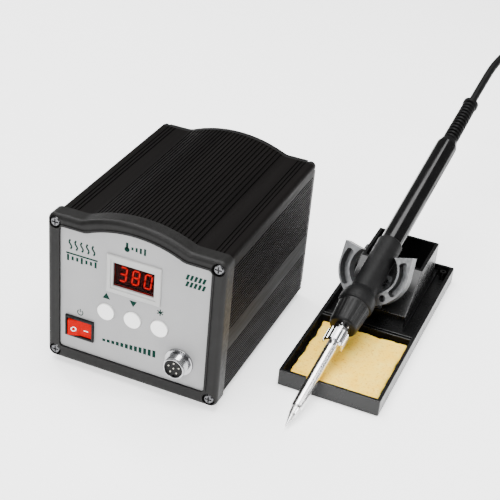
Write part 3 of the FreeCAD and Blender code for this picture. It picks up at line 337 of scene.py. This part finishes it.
def soft_rubber(name, colour, roughness=0.75, grain=0.5):
    look = Surface(name, colour, roughness)
    look.set(Specular_IOR_Level=0.12)
    look.vary_colour(look.noise(6.0, 5), tuple(c * 1.5 for c in colour))
    look.vary_roughness(look.noise(1.5, 4), roughness - 0.1, roughness + 0.1)
    return look.bump(look.noise(grain, 3), 0.05, 0.6).done()


def handle_gloss():
    look = Surface("handle_gloss", (0.0018, 0.0018, 0.0019), 0.13)
    look.set(Specular_IOR_Level=0.28)
    look.vary_colour(look.noise(25.0, 3), (0.0028, 0.0028, 0.0029))
    return look.vary_roughness(look.noise(8.0, 5), 0.11, 0.19).done()


def cellulose_sponge():
    look = Surface("cellulose_sponge", (1.0, 0.6, 0.045), 0.95)
    look.set(Specular_IOR_Level=0.1, Subsurface_Weight=0.1, Subsurface_Scale=0.002)
    cells = look.nodes.new("ShaderNodeTexVoronoi")
    cells.inputs["Scale"].default_value = 1.0 / (0.9 * MM)
    look.links.new(look.place, cells.inputs["Vector"])
    look.vary_colour(look.noise(9.0, 6), (1.0, 0.69, 0.11))
    look.speckle(look.noise(1.3, 5), (0.72, 0.33, 0.03), 0.56, 0.72)
    return look.bump(cells.outputs["Distance"], 0.25, 0.55).done()


def circuit_board():
    look = Surface("circuit_board", (0.01, 0.09, 0.03), 0.35)
    tracks = look.noise(3.0, 1)
    look.vary_colour(tracks, (0.02, 0.16, 0.06), 0.48, 0.5)
    return look.bump(tracks, 0.03, 0.5).done()


def wound_tape():
    look = Surface("wound_tape", (0.62, 0.45, 0.06), 0.35)
    look.vary_colour(look.noise(2.0, 3, (0.2, 0.2, 1.5)), (0.5, 0.34, 0.04))
    return look.bump(look.noise(1.2, 2, (0.1, 0.1, 1.5)), 0.1, 0.5).done()


def stacked_sheets():
    """Edges of the transformer's sheets: a light and a dark band in every millimetre along Y."""
    look = Surface("stacked_sheets", (0.2, 0.2, 0.21), 0.5, 0.8)
    wave = look.nodes.new("ShaderNodeTexWave")
    wave.bands_direction = "Y"
    wave.inputs["Scale"].default_value = 1.0 / (3.2 * MM)
    wave.inputs["Distortion"].default_value = 0.4
    look.links.new(look.place, wave.inputs["Vector"])
    look.vary_colour(wave.outputs["Fac"], (0.1, 0.09, 0.085), 0.2, 0.8)
    return look.bump(wave.outputs["Fac"], 0.1, 0.6).done()


def fuse_tube():
    """Clear glass, slightly cloudy."""
    look = Surface("fuse_tube", (0.9, 0.93, 0.93), 0.08)
    look.set(Transmission_Weight=0.6, IOR=1.45)
    return look.vary_colour(look.noise(8.0, 2), (0.8, 0.84, 0.84)).done()


MATERIAL = {
    "case_black": anodised_case(),
    "bezel_black": bezel_plastic(),
    "panel_silver": panel_foil(),
    "rear_panel_black": moulded(
        "rear_panel_paint", (0.016, 0.016, 0.017), (0.022, 0.022, 0.023), 0.5, 0.5, 0.05),
    # The screws' colour is darkened far below that of chrome: painted shade of the dark recesses they sit
    # in.
    "screw_chrome": polished_metal("screw_chrome", (0.13, 0.13, 0.135), 0.28),
    "plain_steel": drawn_metal("plain_steel", grey(0.5), 0.35, (0.2, 1, 1)),
    "foot_rubber": soft_rubber("foot_rubber", grey(0.007)),
    "frame_grey": moulded("frame_grey", (0.36, 0.36, 0.355), (0.385, 0.385, 0.38), 0.42, 0.3, 0.015),
    "display_glass": window_glass(),
    "module_black": moulded("module_black", grey(0.004), grey(0.006), 0.5),
    "digit_lit": lit_digits(),
    "board_green": circuit_board(),
    "brass_post": drawn_metal("brass_post", (0.72, 0.5, 0.2), 0.28, (1, 0.2, 1)),
    "switch_black": moulded("switch_black", grey(0.003), grey(0.005), 0.4, 0.4, 0.02),
    "button_white": moulded("button_white", (0.93, 0.93, 0.92), (0.96, 0.96, 0.95), 0.4, 0.6, 0.01),
    "rocker_red": rocker_plastic(),
    "socket_chrome": polished_metal("socket_chrome", (0.42, 0.42, 0.43), 0.16),
    "insulator_black": moulded("insulator_black", grey(0.003), grey(0.005), 0.45, 0.4, 0.02),
    "contact_gold": polished_metal("contact_gold", (0.5, 0.48, 0.42), 0.25),
    "fuse_glass": fuse_tube(),
    "core_steel": stacked_sheets(),
    "coil_tape": wound_tape(),
    "heatsink_black": drawn_metal("heatsink_black", (0.03, 0.03, 0.032), 0.4, (1, 1, 0.1)),
    "capacitor_sleeve": moulded(
        "capacitor_sleeve", (0.012, 0.016, 0.07), (0.016, 0.02, 0.09), 0.25, 1.0, 0.01),
    "tray_black": tray_plastic(),
    "cradle_grey": cast_metal(),
    "sponge_yellow": cellulose_sponge(),
    "tip_plated": tip_metal(),
    "barrel_steel": steel_tube(),
    "nut_chrome": polished_metal("nut_chrome", (0.84, 0.84, 0.85), 0.1),
    "ceramic_white": moulded("ceramic_white", (0.8, 0.79, 0.74), (0.74, 0.73, 0.69), 0.6, 0.5, 0.03),
    "nose_black": moulded("nose_black", grey(0.0034), grey(0.005), 0.36, 0.5, 0.02),
    "grip_rubber": soft_rubber("grip_rubber", (0.0032, 0.0032, 0.0033), 0.5, 0.6),
    "handle_black": handle_gloss(),
    "boot_rubber": soft_rubber("boot_rubber", grey(0.0022), 0.42, 0.5),
    "cord_black": soft_rubber("cord_black", (0.0026, 0.0026, 0.0027), 0.42, 0.8),
    "plug_chrome": polished_metal("plug_chrome", (0.74, 0.73, 0.71), 0.16),
    "print_green": printed_ink("print_green", (0.002, 0.02, 0.014)),
    "print_white": printed_ink("print_white", (0.8, 0.8, 0.78)),
}


def dress_frame():
    """Gives every CAD node the material of its slot."""
    for part in frame["record"]["subparts"]:
        node = NODES[part["node"]]
        node.data.materials.clear()
        node.data.materials.append(MATERIAL[part["material_slot"]])


# ---------------------------------------------------------------- camera, light and floor

def make_camera():
    data = bpy.data.cameras.new("camera")
    data.sensor_width = 36.0
    data.lens = CAMERA_LENS
    data.clip_start = 0.05
    camera = bpy.data.objects.new("camera", data)
    back = CAMERA_RIGHT.cross(CAMERA_UP).normalized()
    turn = Matrix((CAMERA_RIGHT, back.cross(CAMERA_RIGHT), back)).transposed().to_4x4()
    camera.matrix_world = Matrix.Translation(CAMERA_PLACE) @ turn
    bpy.context.scene.collection.objects.link(camera)
    bpy.context.scene.camera = camera


def area_light(name, place, target, size, power):
    data = bpy.data.lights.new(name, "AREA")
    data.shape = "RECTANGLE"
    data.size, data.size_y = size
    data.energy = power
    lamp = bpy.data.objects.new(name, data)
    lamp.location = place
    lamp.rotation_euler = (Vector(target) - Vector(place)).to_track_quat("-Z", "Y").to_euler()
    bpy.context.scene.collection.objects.link(lamp)


def make_studio():
    world = bpy.data.worlds.new("studio")
    world.use_nodes = True
    background = world.node_tree.nodes["Background"]
    background.inputs["Color"].default_value = (1, 1, 1, 1)
    background.inputs["Strength"].default_value = WORLD_STRENGTH
    bpy.context.scene.world = world
    area_light("overhead", (-0.1, 0.0, 1.7), STUDIO_CENTRE, (1.8, 1.6), 82.0)
    area_light("front", (0.0, -1.3, 0.9), STUDIO_CENTRE, (0.5, 0.4), 15.0)
    area_light("left_strip", (-0.9, 0.5, 0.75), (0.12, 0.05, 0.05), (0.12, 0.9), 6.0)
    area_light("right_strip", (0.95, 0.1, 0.5), (0.12, 0.05, 0.02), (0.12, 0.9), 8.0)


def make_floor():
    """Pale floor that gives off some light of its own."""
    shape = bmesh.new()
    bmesh.ops.create_grid(shape, x_segments=2, y_segments=2, size=FLOOR_REACH)
    floor = bpy.data.objects.new("floor", mesh_of(shape, "floor"))
    bpy.context.scene.collection.objects.link(floor)
    pale = Surface("pale_floor", (0.95, 0.95, 0.95), 0.9)
    pale.shader.inputs["Emission Color"].default_value = (1, 1, 1, 1)
    pale.set(Emission_Strength=1.1, Specular_IOR_Level=0.0)
    floor.data.materials.append(pale.done())


# ---------------------------------------------------------------- cord

def cord_points():
    """Free run from the boot to the bench, the coil's turns, and the tail to the plug."""
    run = [iron_point(BOOT_END - 12.0 * MM), iron_point(BOOT_END + 24.0 * MM)]
    run += [Vector(p) * MM for p in (
        (130.2, 292.0, 123.9), (140.5, 327.0, 129.0), (163.5, 358.0, 119.0), (190.0, 376.0, 86.0),
        (214.0, 378.0, 47.5), (233.0, 369.0, 16.0), (241.5, 348.0, 3.0), (240.5, 330.0, 3.0))]
    turns = []
    tighten = 1 / math.cos(math.pi / POINTS_PER_TURN)
    passing = (1 - PASSING_SHARE) * POINTS_PER_TURN
    for turn, (radius, height) in enumerate(COIL_TURNS):
        next_radius, next_height = COIL_TURNS[min(turn + 1, len(COIL_TURNS) - 1)]
        for step in range(POINTS_PER_TURN):
            late = max(0.0, (step - passing) / (PASSING_SHARE * POINTS_PER_TURN))
            r = (radius + (next_radius - radius) * late) * MM * tighten
            z = (height + (next_height - height) * late) * MM
            angle = -2 * math.pi * step / POINTS_PER_TURN
            turns.append(COIL_CENTRE + Vector((r * math.cos(angle), r * math.sin(angle), z)))
    tail = [Vector(p) * MM for p in (
        (239.8, 309.0, 9.0), (240.0, 290.0, 9.0), (243.0, 273.0, 9.0),
        (249.0, 256.5, 8.8), (250.5, 239.0, 8.6))]
    return run + turns + tail


def spline_curve(points, name):
    """Smooth curve with the points as its controls."""
    curve = bpy.data.curves.new(name, "CURVE")
    curve.dimensions = "3D"
    curve.resolution_u = 6
    spline = curve.splines.new("NURBS")
    spline.points.add(len(points) - 1)
    for target, point in zip(spline.points, points):
        target.co = (*point, 1.0)
    spline.order_u = 3
    spline.use_endpoint_u = True
    return curve


def curve_mesh(curve):
    """Mesh of a curve: a bare line, or a tube where the curve has a thickness."""
    holder = bpy.data.objects.new(curve.name + "_curve", curve)
    mesh = bpy.data.meshes.new_from_object(holder)
    bpy.data.objects.remove(holder)
    return mesh


def swept_path(points):
    """Points along the route's own spline."""
    line = curve_mesh(spline_curve(points, "cord_line"))
    path = [vertex.co.copy() for vertex in line.vertices]
    bpy.data.meshes.remove(line)
    return path


def make_cord():
    """The whole cord as one tube, curving between the iron and the coil on the bench."""
    points = cord_points()
    path = swept_path(points)
    round_curve = spline_curve(points, "cord")
    round_curve.bevel_depth = CORD_DIAMETER / 2
    round_curve.bevel_resolution = 5
    round_curve.use_fill_caps = True
    mesh = curve_mesh(round_curve)
    mesh.materials.clear()
    cord = bpy.data.objects.new("cord", mesh)
    bpy.context.scene.collection.objects.link(cord)
    for face in mesh.polygons:
        face.use_smooth = True
    mesh.materials.append(MATERIAL["cord_black"])
    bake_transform(cord)
    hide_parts("iron_cord", "cord_coil", "cord_tail")


# ---------------------------------------------------------------- sponge

def ragged(waves, distance, shift):
    """How far an uneven edge lies inwards at a distance along it: 0 to about 1.6 mm."""
    total = sum(size * math.sin(rate * distance + phase + shift) for rate, phase, size in waves)
    return max(0.0, (0.8 + 0.5 * total) * MM)


def sponge_points(shape, low, high):
    """Points all over the pad's skin, none inside it, by their place across, along and up."""
    rng = random.Random(7)
    across, along, layers = SPONGE_CELLS
    waves = [(rng.uniform(80, 700), rng.uniform(0, 6.3), rng.uniform(0.12, 0.5)) for _ in range(10)]
    rough = 0.16 * MM
    edge_rough = 1.6
    rounding, rounded_share = 0.7 * MM, 0.05
    points = {}
    for k, i, j in itertools.product(range(layers + 1), range(across + 1), range(along + 1)):
        inner_i, inner_j, inner_k = 0 < i < across, 0 < j < along, 0 < k < layers
        if inner_i and inner_j and inner_k:
            continue
        u, v, level = i / across, j / along, k / layers
        left = low.x + ragged(waves, v * SPONGE_WAVES_LENGTH, 0.0)
        right = high.x - ragged(waves, v * SPONGE_WAVES_LENGTH, 2.0)
        front = low.y + ragged(waves, u * SPONGE_WAVES_LENGTH, 4.0)
        back = high.y - ragged(waves, u * SPONGE_WAVES_LENGTH, 1.0)
        x = left + (right - left) * u
        y = front + (back - front) * v
        z = low.z + (high.z - low.z) * level
        if k == layers:
            edge = min(u, 1 - u, v, 1 - v)
            z -= (1 - min(1.0, edge / rounded_share)) ** 2 * rounding
        if k > 0:
            x += rng.uniform(-rough, rough) * (1 if inner_i else edge_rough)
            y += rng.uniform(-rough, rough) * (1 if inner_j else edge_rough)
            z += rng.uniform(-0.12, 0.04) * MM if k == layers else rng.uniform(-rough, rough)
        x = min(max(x, low.x), high.x)
        y = min(max(y, low.y), high.y)
        points[i, j, k] = shape.verts.new((x, y, min(z, high.z)))
    return points


def make_sponge():
    """Flat cellulose pad with uneven edges and a rough skin."""
    low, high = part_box("sponge")
    shape = bmesh.new()
    points = sponge_points(shape, low, high)
    across, along, layers = SPONGE_CELLS

    def skin(corners):
        shape.faces.new([points[corner] for corner in corners])

    for i in range(across):
        for j in range(along):
            skin([(i, j, 0), (i, j + 1, 0), (i + 1, j + 1, 0), (i + 1, j, 0)])
            skin([(i, j, layers), (i + 1, j, layers), (i + 1, j + 1, layers), (i, j + 1, layers)])
    for k in range(layers):
        for i in range(across):
            skin([(i, 0, k), (i + 1, 0, k), (i + 1, 0, k + 1), (i, 0, k + 1)])
            skin([(i + 1, along, k), (i, along, k), (i, along, k + 1), (i + 1, along, k + 1)])
        for j in range(along):
            skin([(0, j + 1, k), (0, j, k), (0, j, k + 1), (0, j + 1, k + 1)])
            skin([(across, j, k), (across, j + 1, k), (across, j + 1, k + 1), (across, j, k + 1)])
    bmesh.ops.recalc_face_normals(shape, faces=shape.faces)
    sponge = new_object("wet_sponge", mesh_of(shape, "wet_sponge"), "station", "sponge_yellow", smooth=True)
    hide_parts("sponge")


# ---------------------------------------------------------------- printed marks

class Print:
    """Flat marks on a face that looks along -Y: thin plates, drawn in X and Z in millimetres."""

    def __init__(self, y):
        self.shape = bmesh.new()
        self.y = y

    def plate(self, outline):
        """One thin plate with a closed outline."""
        front = [self.shape.verts.new((x * MM, self.y - PRINT_THICK, z * MM)) for x, z in outline]
        back = [self.shape.verts.new((x * MM, self.y, z * MM)) for x, z in outline]
        count = len(outline)
        self.shape.faces.new(front)
        self.shape.faces.new(back[::-1])
        for i in range(count):
            j = (i + 1) % count
            self.shape.faces.new([front[i], back[i], back[j], front[j]])

    def bar(self, x, z, width, height, slant=0.0):
        """Upright bar about a point. The slant moves its top to the right and its foot to the left."""
        w, h = width / 2, height / 2
        self.plate([(x - w - slant, z - h), (x + w - slant, z - h),
                    (x + w + slant, z + h), (x - w + slant, z + h)])

    def disc(self, x, z, radius, steps=24):
        angles = [2 * math.pi * i / steps for i in range(steps)]
        self.plate([(x + radius * math.cos(a), z + radius * math.sin(a)) for a in angles])

    def arc(self, x, z, radius, width, start, end, steps=20):
        """Part of a ring, from one angle to another in degrees."""
        angles = [math.radians(start + (end - start) * i / steps) for i in range(steps + 1)]
        for a, b in zip(angles, angles[1:]):
            inner, outer = radius - width / 2, radius + width / 2
            self.plate([(x + r * math.cos(t), z + r * math.sin(t))
                        for r, t in ((inner, a), (outer, a), (outer, b), (inner, b))])

    def stroke(self, points, width):
        """Line of even width through points."""
        for (x0, z0), (x1, z1) in zip(points, points[1:]):
            length = math.hypot(x1 - x0, z1 - z0)
            nx, nz = -(z1 - z0) / length * width / 2, (x1 - x0) / length * width / 2
            self.plate([(x0 - nx, z0 - nz), (x1 - nx, z1 - nz), (x1 + nx, z1 + nz), (x0 + nx, z0 + nz)])

    def piece(self, name, slot, body="station"):
        bmesh.ops.recalc_face_normals(self.shape, faces=self.shape.faces)
        return new_object(name, mesh_of(self.shape, name), body, slot)


def button_signs(marks):
    """Arrow up, arrow down and a star, on one line over the three buttons."""
    up, down, choose = (middle(node) / MM for node in ("button_up", "button_down", "button_set"))
    line = up.z + 11.8
    half, base, point = 2.6, 2.1, 2.3
    marks.plate([(up.x - half, line - base), (up.x + half, line - base), (up.x, line + point)])
    marks.plate([(down.x - half, line + base), (down.x, line - point), (down.x + half, line + base)])
    for turn in range(3):
        angle = math.radians(90 + 60 * turn)
        dx, dz = point * math.cos(angle), point * math.sin(angle)
        marks.stroke([(choose.x - dx, line - dz), (choose.x + dx, line + dz)], 0.75)


def thermometer(marks, x, z):
    """Bulb and stem beside four bars of growing height."""
    stem = x - 5.4
    marks.disc(stem, z - 1.5, 1.8)
    marks.bar(stem, z + 0.9, 1.6, 4.6)
    for step in range(4):
        marks.bar(x - 1.8 + step * 2.8, z, 1.4, 2.0 + step * 0.9)


def power_sign(marks, x, z):
    """Open ring with a stroke through its gap."""
    line = 0.65
    marks.arc(x, z, 1.9, line, -235, 55)
    marks.bar(x, z + 1.5, line, 2.4)


def heat_sign(marks, x, z):
    """Five heat waves over a rule with seven ticks."""
    for i in range(5):
        wave = [(x - 8.0 + 4.0 * i + 0.9 * math.sin(t * 0.9), z - 3.2 + t * 0.95) for t in range(8)]
        marks.stroke(wave, 1.2)
    marks.bar(x, z - 6.4, 22.0, 1.1)
    for i in range(7):
        marks.bar(x - 9.6 + 3.2 * i, z - 9.6, 1.5, 4.4 if i % 3 == 0 else 2.8)


def guard_sign(marks, x, z):
    """Two rows of slanted bars."""
    for row in (-1, 1):
        for i in range(5):
            marks.bar(x - 5.4 + 2.7 * i, z + row * 2.4, 1.7, 3.8, 0.6)


def rising_scale(marks, x, z):
    """Twelve bars on one base line, each taller than the one before."""
    for i in range(12):
        height = 1.8 + 0.3 * i
        marks.bar(x - 17.6 + 3.2 * i, z - 2.4 + height / 2, 2.1, height)


def panel_marks():
    """Generic symbols on the front panel, as one piece."""
    marks = Print(PANEL_FACE)
    button_signs(marks)
    thermometer(marks, *THERMOMETER)
    power_sign(marks, *POWER_SIGN)
    heat_sign(marks, *HEAT_SIGN)
    guard_sign(marks, *GUARD_SIGN)
    rising_scale(marks, *RISING_SCALE)
    marks.piece("panel_marks", "print_green")


def rocker_marks():
    """Ring and bar on the rocker's two halves, drawn about its pivot and then tilted with it."""
    ring_print, bar_print = Print(ROCKER_CREASE), Print(ROCKER_CREASE)
    aside, height = 4.2, -0.8
    ring_print.arc(-aside, height, 1.5, 0.6, 0, 360, 24)
    ring = ring_print.piece("rocker_ring", "print_white", "power_rocker")
    bar_print.bar(aside, height, 2.8, 0.65)
    bar = bar_print.piece("rocker_bar", "print_white", "power_rocker")
    to_pivot = Matrix.Translation(ROCKER_PIVOT) @ Matrix.Rotation(ROCKER_TILT, 4, "Z")
    crease = Vector((0, ROCKER_CREASE, 0))
    for piece, side in ((ring, 1), (bar, -1)):
        slope = Matrix.Rotation(side * ROCKER_SLOPE, 4, "Z")
        piece.data.transform(to_pivot @ Matrix.Translation(crease) @ slope @ Matrix.Translation(-crease))


# ---------------------------------------------------------------- threaded socket

def lathe(profile, centre, name, slot, body, steps=72):
    """Round piece about a line along Y, from a closed outline of (y, radius) corners in metres."""
    shape = bmesh.new()
    centre_x, centre_z = centre
    rings = []
    for i in range(steps):
        angle = 2 * math.pi * i / steps
        across, up = math.cos(angle), math.sin(angle)
        rings.append([shape.verts.new((centre_x + radius * across, y, centre_z + radius * up))
                      for y, radius in profile])
    count = len(profile)
    for i in range(steps):
        a, b = rings[i], rings[(i + 1) % steps]
        for j in range(count):
            k = (j + 1) % count
            shape.faces.new([a[j], a[k], b[k], b[j]])
    bmesh.ops.recalc_face_normals(shape, faces=shape.faces)
    return new_object(name, mesh_of(shape, name), body, slot)


def make_socket():
    """Socket shell with its thread's ridges, a stepped flange and a rolled mouth."""
    low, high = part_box("socket_shell")
    centre = ((low.x + high.x) / 2, (low.z + high.z) / 2)
    bore, barrel, flange = 6.12 * MM, 7.3 * MM, (high.x - low.x) / 2
    pitch, depth = 1.0 * MM, 0.42 * MM
    front = low.y
    seat = PANEL_FACE - 1.4 * MM
    profile = [(front + 0.3 * MM, bore), (front, bore + 0.3 * MM), (front, barrel - 0.5 * MM),
               (front + 0.4 * MM, barrel - 0.1 * MM), (front + 1.5 * MM, barrel - 0.1 * MM)]
    y = front + 1.7 * MM
    while y + pitch < seat - 0.4 * MM:
        profile += [(y, barrel - depth), (y + 0.3 * pitch, barrel), (y + 0.5 * pitch, barrel),
                    (y + 0.8 * pitch, barrel - depth)]
        y += pitch
    profile += [(seat, barrel - depth), (seat, flange - 0.6 * MM), (seat + 0.25 * MM, flange - 0.15 * MM),
                (seat + 0.6 * MM, flange), (PANEL_FACE, flange), (PANEL_FACE, barrel),
                (high.y, barrel), (high.y, bore)]
    socket = lathe(profile, centre, "threaded_socket", "socket_chrome", "station")
    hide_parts("socket_shell")


# ---------------------------------------------------------------- put together

make_camera()
make_cord()
make_studio()
make_floor()
dress_frame()
make_sponge()
panel_marks()
rocker_marks()
make_socket()
